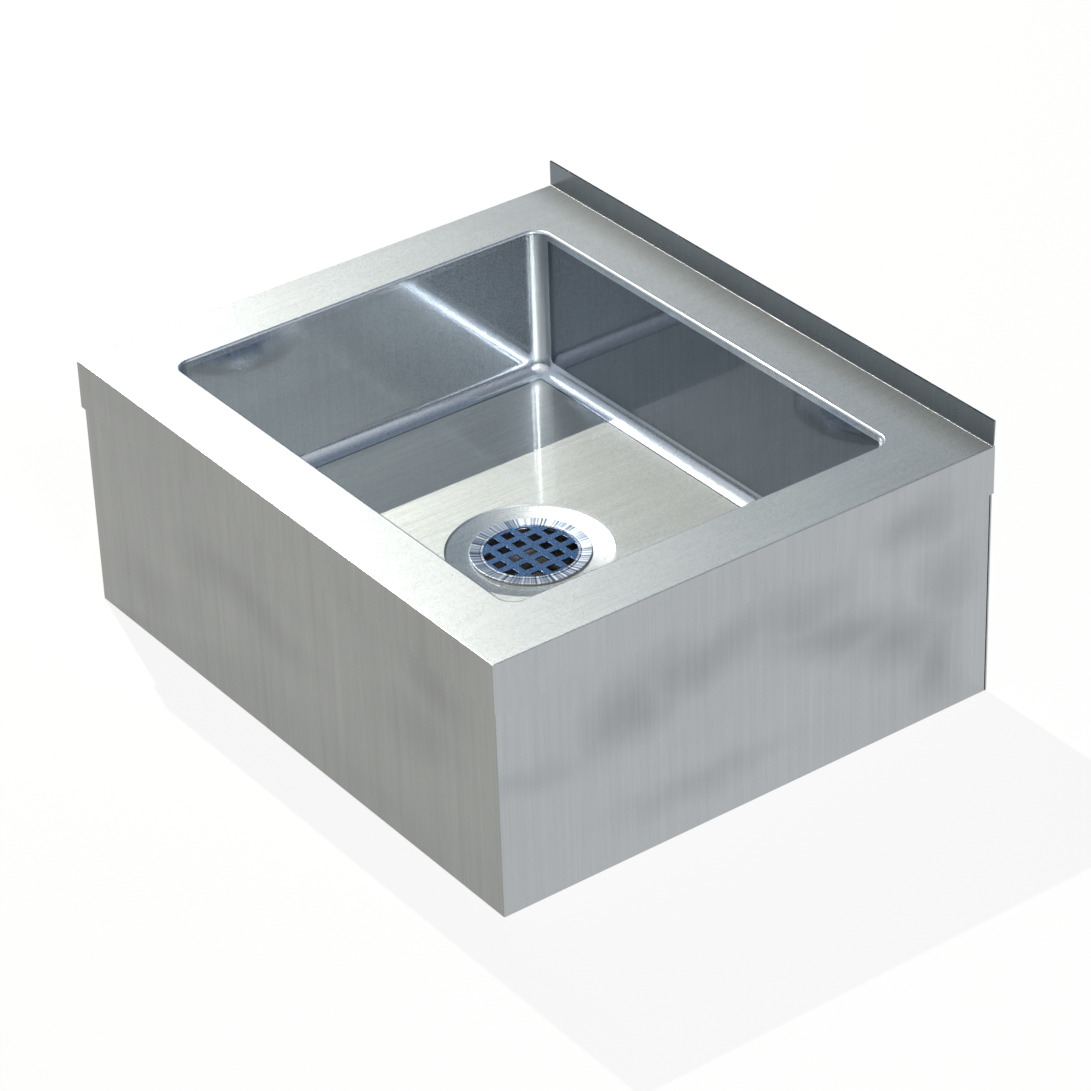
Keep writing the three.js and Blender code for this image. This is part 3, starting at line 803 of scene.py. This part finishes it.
def makeSkirt(shape):
    flange = shape["floorFlange"]
    foldAngle = math.radians(shape["foldAngle"])

    def isInsideFlange(face):
        middle = middleOf(face)
        inside = abs(middle.x) < wrapHigh.x - flange and middle.y > wrapLow.y + flange
        return looksAlong(face, 2, -1) and inside

    def isRearEnd(edge, side):
        # the upright edge at the rear end of one side
        return along(edge, 2) and level(edge, 1, wrapHigh.y) and level(edge, 0, side * wrapHigh.x)

    nothingSelected()
    addBlock(wrapLow, wrapHigh)
    skirt = beginPiece("sink_skirt")
    pick(skirt, "faces", lambda face: looksAlong(face, 2, 1) or looksAlong(face, 1, 1))
    bpy.ops.mesh.delete(type="FACE")
    for side in (-1, 1):
        pick(skirt, "edges", lambda edge: isRearEnd(edge, side))
        extrudeBy(-side * shape["return"], 0, 0)
        pick(skirt, "faces", lambda face: looksAlong(face, 2, -1))
        bpy.ops.mesh.bisect(plane_co=(side * (wrapHigh.x - flange), 0, 0), plane_no=(1, 0, 0))
    pick(skirt, "faces", lambda face: looksAlong(face, 2, -1))
    bpy.ops.mesh.bisect(plane_co=(0, wrapLow.y + flange, 0), plane_no=(0, 1, 0))
    pick(skirt, "faces", isInsideFlange)
    bpy.ops.mesh.delete(type="FACE")
    pick(skirt, "edges", lambda edge: edge.calc_face_angle(0) > foldAngle)
    rounded(shape["bend"], shape["bendSteps"])
    faceOutwards()
    turnTo(skirt, 1, wrapLow.y, -1)
    thicken(skirt, shape["sheet"])
    deburr(skirt, shape["deburr"])
    smoothShade(skirt)
    # the sides and the front take their painted shade tones of the same steel
    dress(skirt, "sink", "brushed_sheet", [sheetSidesPaintedShade, sheetFrontPaintedShade], "skirt_wrap")
    paintFaces(skirt, sheetFrontPaintedShade, lambda face: face.normal.y < -picking["steep"])


makeSkirt(skirtShape)
print("skirt made")

# drain: its chrome, the inside of its cup and the blue plate

chromeLook = {
    "light": (0.76, 0.8, 0.86),
    # dark blue of the painted reflection in the streaks
    "dark": (0.25, 0.32, 0.43),
    "rays": 22.0,
    "edges": (0.4, 0.6),
    "roughness": (0.24, 0.46),
    "relief": 0.3,
}
blueLook = {
    "light": (0.19, 0.34, 0.59),
    "dark": (0.12, 0.22, 0.42),
    "grain": 900.0,
    "roughness": (0.2, 0.34),
    "relief": 0.05,
}
cupLook = {
    "light": (0.3, 0.27, 0.23),
    "dark": (0.13, 0.115, 0.1),
    "grain": (420, 420, 420),
    "roughness": (0.25, 0.45),
    "relief": 0.05,
}


def turnedChromePaintedReflection(name, look):
    # streaks that run straight out from the centre; their dark blue to near-white colour is painted
    # reflection, their roughness and bumps are the real grain
    material, tree = newMaterial(name)
    ray = vectorMaths(tree, "NORMALIZE", {0: flatPlace(tree)})
    rays = noise(tree, ray, look["rays"], 3.0, 0.6)
    streaks = remap(tree, rays, *look["edges"], kind="SMOOTHSTEP")
    surface(tree, {
        "Base Color": tint(tree, streaks, look["dark"], look["light"]),
        "Metallic": 1.0,
        "Roughness": spread(tree, rays, *look["roughness"]),
        "Normal": bump(tree, rays, look["relief"], 0.0004),
    })
    return material


def blueCast(name, look):
    material, tree = newMaterial(name)
    grain = noise(tree, ownPlace(tree), look["grain"], 3.0, 0.6)
    surface(tree, {
        "Base Color": tint(tree, spread(tree, grain), look["dark"], look["light"]),
        "Metallic": 1.0,
        "Roughness": spread(tree, grain, *look["roughness"]),
        "Normal": bump(tree, grain, look["relief"], 0.0001),
    })
    return material


chrome = turnedChromePaintedReflection("turned_chrome_painted_reflection", chromeLook)
blueMetal = blueCast("blue_cast_plate", blueLook)
cupMetal = plainMetal("cup_inside", cupLook)
print("drain finishes made")

# drain body: flange, cup and shank in one turned piece

bodyLow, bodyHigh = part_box("strainer_body")
bodyShape = {
    "sides": 144,
    "flangeThickness": 0.0014,
    "flangeDish": 0.001,
    "flangeRound": 0.0006,
    "mouth": 0.0457,
    "mouthRound": 0.0003,
    "ledge": 0.0431,
    "ledgeDepth": 0.0034,
    "ledgeRound": 0.0005,
    "cupRadius": 0.0466,
    "cupWall": 0.002,
    "cupBend": 0.006,
    "threadDepth": 0.019,
    "cupDepth": 0.031,
    "cupFloor": 0.031,
    "floorBend": 0.005,
    "bore": 0.02,
    "boreRound": 0.0015,
    "shankWall": 0.0038,
    "shankEnd": (0.0004, 0.0008),  # rounds at the inside and the outside of its end
    "neckRound": 0.001,
    "shoulderBend": 0.004,
    "tailRadius": 0.01905,
    "tailWall": 0.0012,
    "tailLip": 0.0012,
    "tailRound": 0.001,
    "tailMouth": 0.0015,
    "threadPitch": 0.0021,
    "threadHeight": 0.0008,
    "threadForm": (0.4, 0.55, 0.95),  # shares of the pitch: crest, end of the crest, next root
}


def softCorners(before, corners, after):
    # rounds each [corner, reach, steps] of a profile in turn
    ends = [before] + [corner for corner, reach, steps in corners] + [after]
    points = []
    for i, (corner, reach, steps) in enumerate(corners):
        points += softCorner(ends[i], corner, ends[i + 2], reach, steps)
    return points


def threadRings(root, crest, start, end, shape):
    # roots and crests in turn from start to end, half a pitch of plain shank left at the start
    pitch = shape["threadPitch"]
    turns = int(abs(end - start) / pitch) - 1
    way = math.copysign(pitch, end - start)
    crestAt, crestEnd, rootAt = shape["threadForm"]
    rings = []
    for i in range(turns):
        low = start + way * (i + 0.5)
        rings += [(root, low), (crest, low + way * crestAt)]
        rings += [(crest, low + way * crestEnd), (root, low + way * rootAt)]
    return rings


def makeStrainerBody(shape):
    edgeTop = bodyHigh.z
    underside = edgeTop - shape["flangeThickness"]
    ledgeTop = edgeTop - shape["ledgeDepth"]
    threadEnd = ledgeTop - shape["threadDepth"]
    cupBottom = ledgeTop - shape["cupDepth"]
    outside = cupBottom - shape["cupWall"]
    inside = shape["cupRadius"] - shape["cupWall"]
    taper = inside - (shape["mouth"] - shape["ledge"])
    bore = shape["bore"]
    shank = bore + shape["shankWall"]
    root = shape["cupRadius"] - shape["threadHeight"]
    shankRoot = shank - shape["threadHeight"]
    half = shape["flangeThickness"] / 2
    endInside, endOutside = shape["shankEnd"]
    neck = (shankRoot, outside)

    def isInCup(face):
        belowLedge = face.center.z < ledgeTop - shape["ledgeRound"] + picking["slack"]
        return belowLedge and face.center.xy.length < inside

    edge = arc((bodyHigh.x - half, underside + half), half, -90, 80, 8)
    inner = softCorners(edge[-1], [
        [(shape["mouth"], edgeTop - shape["flangeDish"]), shape["flangeRound"], 4],
        [(shape["mouth"], ledgeTop), shape["mouthRound"], 4],
        [(shape["ledge"], ledgeTop), shape["ledgeRound"], 4],
        [(taper, threadEnd), shape["cupBend"], 4],
        [(shape["cupFloor"], cupBottom), shape["floorBend"], 4],
        [(bore, cupBottom), shape["boreRound"], 4],
        [(bore, bodyLow.z), endInside, 2],
        [(shankRoot, bodyLow.z), endOutside, 2],
    ], neck)
    outer = softCorners((shankRoot, bodyLow.z), [
        [neck, shape["neckRound"], 3],
        [(shape["cupFloor"] + shape["cupWall"], outside), shape["shoulderBend"], 4],
    ], (root, threadEnd))
    shankThread = threadRings(shankRoot, shank, bodyLow.z, outside - shape["neckRound"], shape)
    cupThread = threadRings(root, shape["cupRadius"], threadEnd, underside, shape)
    rings = edge + inner + shankThread + outer + cupThread + [(root, underside)]
    body = turnedPiece("drain_body", shape["sides"], rings)
    smoothShade(body, turnedEdge)
    dress(body, "sink", "drain_chrome", [chrome, cupMetal], "strainer_body")
    paintFaces(body, cupMetal, isInCup)


makeStrainerBody(bodyShape)
print("drain body made")

# strainer plate: a pierced disc with a raised rim

plateLow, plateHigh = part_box("strainer_plate")
plateShape = {
    "sides": 144,
    "thickness": 0.0015,
    "rimWidth": 0.002,
    "holeSide": 0.0102,
    "holePitch": 0.0172,
    "holeRound": 0.0008,
    "holeSteps": 4,
    "holeLimit": 0.0428,
    "cutDepth": 0.02,
    "deburr": 0.00018,
    "deburrAngle": 50,
    "sharpest": 30,
}


def latticePlaces(shape):
    # the places of the holes: a square lattice without its corners
    reach = int(shape["holeLimit"] / shape["holePitch"])
    steps = [i * shape["holePitch"] for i in range(-reach, reach + 1)]
    farthest = shape["holeLimit"] - shape["holeSide"] / 4
    return [(x, y) for x in steps for y in steps if math.hypot(x, y) < farthest]


def addDisc(name, sides, radius, depth, z):
    nothingSelected()
    bpy.ops.mesh.primitive_cylinder_add(
        vertices=sides, radius=radius, depth=depth, location=(0, 0, z))
    return beginPiece(name)


def makeHoleCutter(shape, middle):
    # the middle hole's cutter copied over the lattice, kept within a round limit
    nothingSelected()
    bpy.ops.mesh.primitive_cube_add(size=shape["holeSide"], location=(0, 0, middle))
    cutter = beginPiece("hole_cutter")
    pick(cutter, "edges", lambda edge: along(edge, 2))
    rounded(shape["holeRound"], shape["holeSteps"])
    for x, y in latticePlaces(shape):
        if near(x, 0) and near(y, 0):
            continue
        pick(cutter, "faces", lambda face: middleOf(face).xy.length < shape["holeSide"])
        bpy.ops.mesh.duplicate_move(TRANSFORM_OT_translate={"value": (x, y, 0)})
    limit = addDisc("hole_limit", shape["sides"], shape["holeLimit"], shape["cutDepth"], middle)
    useModifier(cutter, "BOOLEAN", object=limit, operation="INTERSECT", solver="EXACT")
    bpy.data.objects.remove(limit)
    return cutter


def makePlate(shape):
    middle = plateLow.z + shape["thickness"] / 2
    cutter = makeHoleCutter(shape, middle)
    plate = addDisc("drain_plate", shape["sides"], plateHigh.x, shape["thickness"], middle)
    pick(plate, "faces", lambda face: looksAlong(face, 2, 1))
    bpy.ops.mesh.inset(thickness=shape["rimWidth"])
    pick(plate, "faces", lambda face: looksAlong(face, 2, 1) and len(face.verts) == 4)  # the rim
    extrudeBy(0, 0, plateHigh.z - plateLow.z - shape["thickness"])
    useModifier(plate, "BOOLEAN", object=cutter, operation="DIFFERENCE", solver="EXACT")
    deburr(plate, shape["deburr"], shape["deburrAngle"], use_clamp_overlap=True)
    smoothShade(plate, shape["sharpest"])
    bpy.data.objects.remove(cutter)
    dress(plate, "plate", "strainer_plate", [blueMetal, chrome], "strainer_plate")
    rimInside = plateHigh.x - shape["rimWidth"] - picking["slack"]
    paintFaces(plate, chrome, lambda face: face.center.xy.length > rimInside)


makePlate(plateShape)
print("strainer plate made")

# finishes of the fittings and of the pieces under the bowl

metalLooks = {
    "cast_brass": {
        "light": (0.62, 0.48, 0.2),
        "dark": (0.38, 0.27, 0.09),
        "grain": (700, 700, 700),
        "roughness": (0.3, 0.5),
        "relief": 0.15,
    },
    "tube_chrome": {
        "light": (0.78, 0.8, 0.82),
        "dark": (0.6, 0.62, 0.65),
        "grain": (300, 300, 15),
        "roughness": (0.1, 0.2),
        "relief": 0.03,
    },
    "mill_sheet": {
        "light": (0.5, 0.505, 0.51),
        "dark": (0.33, 0.335, 0.34),
        "grain": (260, 10.4, 260),
        "roughness": (0.38, 0.55),
        "relief": 0.08,
    },
}
softLooks = {
    "damping_pad": {
        "light": (0.075, 0.077, 0.082),
        "dark": (0.03, 0.031, 0.034),
        "grain": 420,
        "roughness": (0.75, 0.95),
        "relief": 0.6,
    },
    "putty_paste": {
        "light": (0.6, 0.56, 0.46),
        "dark": (0.42, 0.38, 0.29),
        "grain": 500,
        "roughness": (0.6, 0.85),
        "relief": 0.5,
    },
    "black_rubber": {
        "light": (0.032, 0.032, 0.034),
        "dark": (0.012, 0.012, 0.013),
        "grain": 900,
        "roughness": (0.5, 0.75),
        "relief": 0.3,
    },
    "pressed_fibre": {
        "light": (0.5, 0.35, 0.2),
        "dark": (0.3, 0.19, 0.09),
        "grain": 800,
        "roughness": (0.75, 0.95),
        "relief": 0.6,
    },
    "natural_nylon": {
        "light": (0.84, 0.83, 0.78),
        "dark": (0.7, 0.69, 0.63),
        "grain": 300,
        "roughness": (0.35, 0.5),
        "relief": 0.1,
    },
}


def plainSoft(name, look):
    material, tree = newMaterial(name)
    grain = noise(tree, ownPlace(tree), look["grain"], 4.0, 0.6)
    cloud = noise(tree, ownPlace(tree), look["grain"] * 0.06)
    tone = maths(tree, "ADD", spread(tree, grain, 0.0, 0.5), spread(tree, cloud, 0.0, 0.5))
    surface(tree, {
        "Base Color": tint(tree, tone, look["dark"], look["light"]),
        "Roughness": spread(tree, grain, *look["roughness"]),
        "Specular IOR Level": 0.35,
        "Normal": bump(tree, grain, look["relief"], 0.0005),
    })
    return material


plainMetals = {name: plainMetal(name, look) for name, look in metalLooks.items()}
plainSofts = {name: plainSoft(name, look) for name, look in softLooks.items()}
print("finishes of the fittings made")

# drain fittings under the bowl: lock nut, coupling nut, tailpiece and gasket

nutShape = {
    "sides": 144,
    "threadGap": 0.0003,
    "chamfer": 0.001,
    "lugs": 6,
    "lugWidth": 0.0122,
    "lugSpace": 0.005,
    "ribs": 8,
    "ribWidth": 0.0072,
    "ribSpace": 0.0025,
    "boxGap": 0.00005,  # the lugs and the ribs end this much inside the box
    "couplingLip": 0.003,
    "deburr": 0.0004,
}
gasketShape = {
    "sides": 144,
    "gap": 0.0003,
    "edge": 0.0008,
}


def liftBlocks(piece, count, width, reach, radius, low, high):
    # pulls evenly spaced blocks out of the side of a turned ring
    half = math.asin(width / 2 / radius)
    step = 2 * math.pi / count
    flatRadius = radius * math.cos(math.pi / nutShape["sides"])

    def inBlock(face):
        centre = middleOf(face)
        angle = math.atan2(centre.y, centre.x) % step
        onSide = low < centre.z < high and near(centre.xy.length, flatRadius)
        return onSide and min(angle, step - angle) < half

    pick(piece, "faces", inBlock)
    bpy.ops.mesh.extrude_region_shrink_fatten(TRANSFORM_OT_shrink_fatten={"value": reach})


def finishNut(nut, node, shape):
    deburr(nut, shape["deburr"], turnedEdge)
    smoothShade(nut, turnedEdge)
    dress(nut, "sink", "brass_nut", [plainMetals["cast_brass"]], node)


def makeLockNut(shape):
    low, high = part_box("lock_nut")
    inner = bodyShape["cupRadius"] + shape["threadGap"]
    outer = high.x - shape["lugSpace"]
    edge = shape["chamfer"]
    half = edge / 2
    rings = [(inner, low.z + half), (inner + half, low.z), (outer - edge, low.z)]
    rings += [(outer, low.z + edge), (outer, high.z - edge), (outer - edge, high.z)]
    rings += [(inner + half, high.z), (inner, high.z - half)]
    nut = turnedPiece("drain_lock_nut", shape["sides"], rings)
    reach = shape["lugSpace"] - shape["boxGap"]
    liftBlocks(nut, shape["lugs"], shape["lugWidth"], reach, outer, low.z + edge, high.z - edge)
    finishNut(nut, "lock_nut", shape)


def makeCouplingNut(shape):
    low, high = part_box("coupling_nut")
    grip = bodyShape["bore"] + bodyShape["shankWall"] + shape["threadGap"]
    collar = bodyShape["tailRadius"] + shape["threadGap"]
    outer = high.x - shape["ribSpace"]
    shelf = low.z + shape["couplingLip"]
    edge = shape["chamfer"]
    half = edge / 2
    lower = low.z + 2 * edge
    upper = high.z - edge
    rings = [(collar, low.z + half), (collar + half, low.z), (outer - 2 * edge, low.z)]
    rings += [(outer, lower), (outer, upper), (outer - edge, high.z), (grip + half, high.z)]
    rings += [(grip, high.z - half), (grip, shelf), (collar, shelf)]
    nut = turnedPiece("drain_coupling_nut", shape["sides"], rings)
    reach = shape["ribSpace"] - shape["boxGap"]
    liftBlocks(nut, shape["ribs"], shape["ribWidth"], reach, outer, lower, upper)
    finishNut(nut, "coupling_nut", shape)


def makeTailpiece(shape):
    low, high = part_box("tailpiece")
    outer = shape["tailRadius"]
    bore = outer - shape["tailWall"]
    lipLow = high.z - shape["tailLip"]
    half = shape["tailLip"] / 2
    rings = [(bore, low.z), (outer, low.z)]
    rings += softCorner((outer, low.z), (outer, lipLow), (high.x, lipLow), shape["tailRound"])
    rings += arc((high.x - half, high.z - half), half, -90, 90, 6)
    rings += softCorner((high.x, high.z), (bore, high.z), (bore, low.z), shape["tailMouth"])
    tail = turnedPiece("drain_tailpiece", shape["sides"], rings)
    smoothShade(tail, turnedEdge)
    dress(tail, "sink", "drain_chrome", [plainMetals["tube_chrome"]], "tailpiece")


def makeGasket(shape):
    # a flat ring with its corners taken off
    low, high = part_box("rubber_gasket")
    inner = bodyShape["cupRadius"] + shape["gap"]
    corners = [(inner, low.z), (high.x, low.z), (high.x, high.z), (inner, high.z)]
    rounds = [[corner, shape["edge"], 3] for corner in corners]
    rings = softCorners(corners[-1], rounds, corners[0])
    gasket = turnedPiece("drain_gasket", shape["sides"], rings)
    smoothShade(gasket, turnedEdge)
    dress(gasket, "sink", "black_rubber", [plainSofts["black_rubber"]], "rubber_gasket")


makeLockNut(nutShape)
makeCouplingNut(nutShape)
makeTailpiece(bodyShape)
makeGasket(gasketShape)
print("drain fittings made")

# finishes of the pieces that stay as they are

finishes = {
    "mill_sheet": plainMetals["mill_sheet"],
    "brushed_sheet": sheetSidesPaintedShade,
    "damping_pad": plainSofts["damping_pad"],
    "putty": plainSofts["putty_paste"],
    "fibre": plainSofts["pressed_fibre"],
    "nylon": plainSofts["natural_nylon"],
}
for part in frame["record"]["subparts"]:
    if part["material_slot"] in finishes:
        shown = frame["nodes"][part["node"]]
        shown.data.materials.clear()
        shown.data.materials.append(finishes[part["material_slot"]])
print("other pieces coloured")

# stage: a plain pale floor and a white surround

stageLook = {
    "floor": (0.93, 0.93, 0.93),
    "floorSize": 14.0,
    "shadowShare": 0.12,  # how much of the floor takes the light and the shadow
    "world": 0.12,
    "greyPlace": (-150.0, 32.0),  # azimuth and elevation of the grey rear of the studio
    "grey": (0.11, 0.16, 0.23),
    "greyEdge": (-0.2, 0.93),  # cosines between which the white turns grey
}


def seenRays(tree):
    # 1 for the rays of the camera, of mirrors and of glass, 0 for the light on the object
    path = addNode(tree, "LightPath").outputs
    seen = maths(tree, "MAXIMUM", path["Is Camera Ray"], path["Is Glossy Ray"])
    return maths(tree, "MAXIMUM", seen, path["Is Transmission Ray"])


def makeFloor(look):
    nothingSelected()
    bpy.ops.mesh.primitive_plane_add(size=look["floorSize"], location=(0, 0, 0))
    floor = bpy.context.object
    floor.name = "floor"
    material, tree = newMaterial("pale_floor")
    matte = addNode(tree, "BsdfDiffuse", {"Color": (*look["floor"], 1)})
    white = addNode(tree, "Emission", {"Color": (1, 1, 1, 1), "Strength": 1.0})
    share = maths(tree, "MULTIPLY", seenRays(tree), 1 - look["shadowShare"])
    mixed = addNode(tree, "MixShader", {0: share, 1: matte.outputs[0], 2: white.outputs[0]})
    addNode(tree, "OutputMaterial", {"Surface": mixed.outputs[0]})
    floor.data.materials.append(material)


def makeWorld(look):
    world = bpy.data.worlds.new("studio")
    bpy.context.scene.world = world
    world.use_nodes = True
    tree = world.node_tree
    tree.nodes.clear()
    way = addNode(tree, "TexCoord").outputs["Generated"]
    grey = towards(*look["greyPlace"])
    cosine = vectorMaths(tree, "DOT_PRODUCT", {0: way, 1: grey}, "Value")
    turned = remap(tree, cosine, *look["greyEdge"], kind="SMOOTHSTEP")
    glossy = addNode(tree, "LightPath").outputs["Is Glossy Ray"]
    share = maths(tree, "MULTIPLY", turned, glossy)
    soft = addNode(tree, "Background", {"Color": (1, 1, 1, 1), "Strength": look["world"]})
    shown = tint(tree, share, (1, 1, 1), look["grey"])
    white = addNode(tree, "Background", {"Color": shown, "Strength": 1.0})
    mixed = addNode(tree, "MixShader", {0: seenRays(tree), 1: soft.outputs[0], 2: white.outputs[0]})
    addNode(tree, "OutputWorld", {"Surface": mixed.outputs[0]})


# lamps: a small one from the left for the hard light, and two long ones on the right

lampAim = (0, 0, 0.2)
lamps = {
    "from_left": {
        "azimuth": -96.8,
        "elevation": 49.1,
        "distance": 3.84,
        "size": (0.03, 0.03),
        "power": 142,
        "colour": (1.0, 0.98, 0.92),
    },
    "from_right": {
        "azimuth": 78,
        "elevation": 32.5,
        "distance": 3.5,
        "size": (1.0, 0.18),
        "power": 35,
        "colour": (1, 1, 1),
    },
    "above_right": {
        "azimuth": 74,
        "elevation": 44,
        "distance": 3.5,
        "size": (1.0, 0.18),
        "power": 16,
        "colour": (1, 1, 1),
    },
}


def addLamp(name, look):
    data = bpy.data.lights.new(name, "AREA")
    data.shape = "RECTANGLE"
    data.size, data.size_y = look["size"]
    data.energy = look["power"]
    data.color = look["colour"]
    lamp = linkNew(name, data)
    direction = towards(look["azimuth"], look["elevation"])
    lamp.location = Vector(lampAim) + direction * look["distance"]
    lamp.rotation_mode = "QUATERNION"
    lamp.rotation_quaternion = direction.to_track_quat("Z", "Y")


makeFloor(stageLook)
makeWorld(stageLook)
for name, look in lamps.items():
    addLamp(name, look)
bpy.context.scene.view_settings.view_transform = "Standard"
print("stage and lamps set")
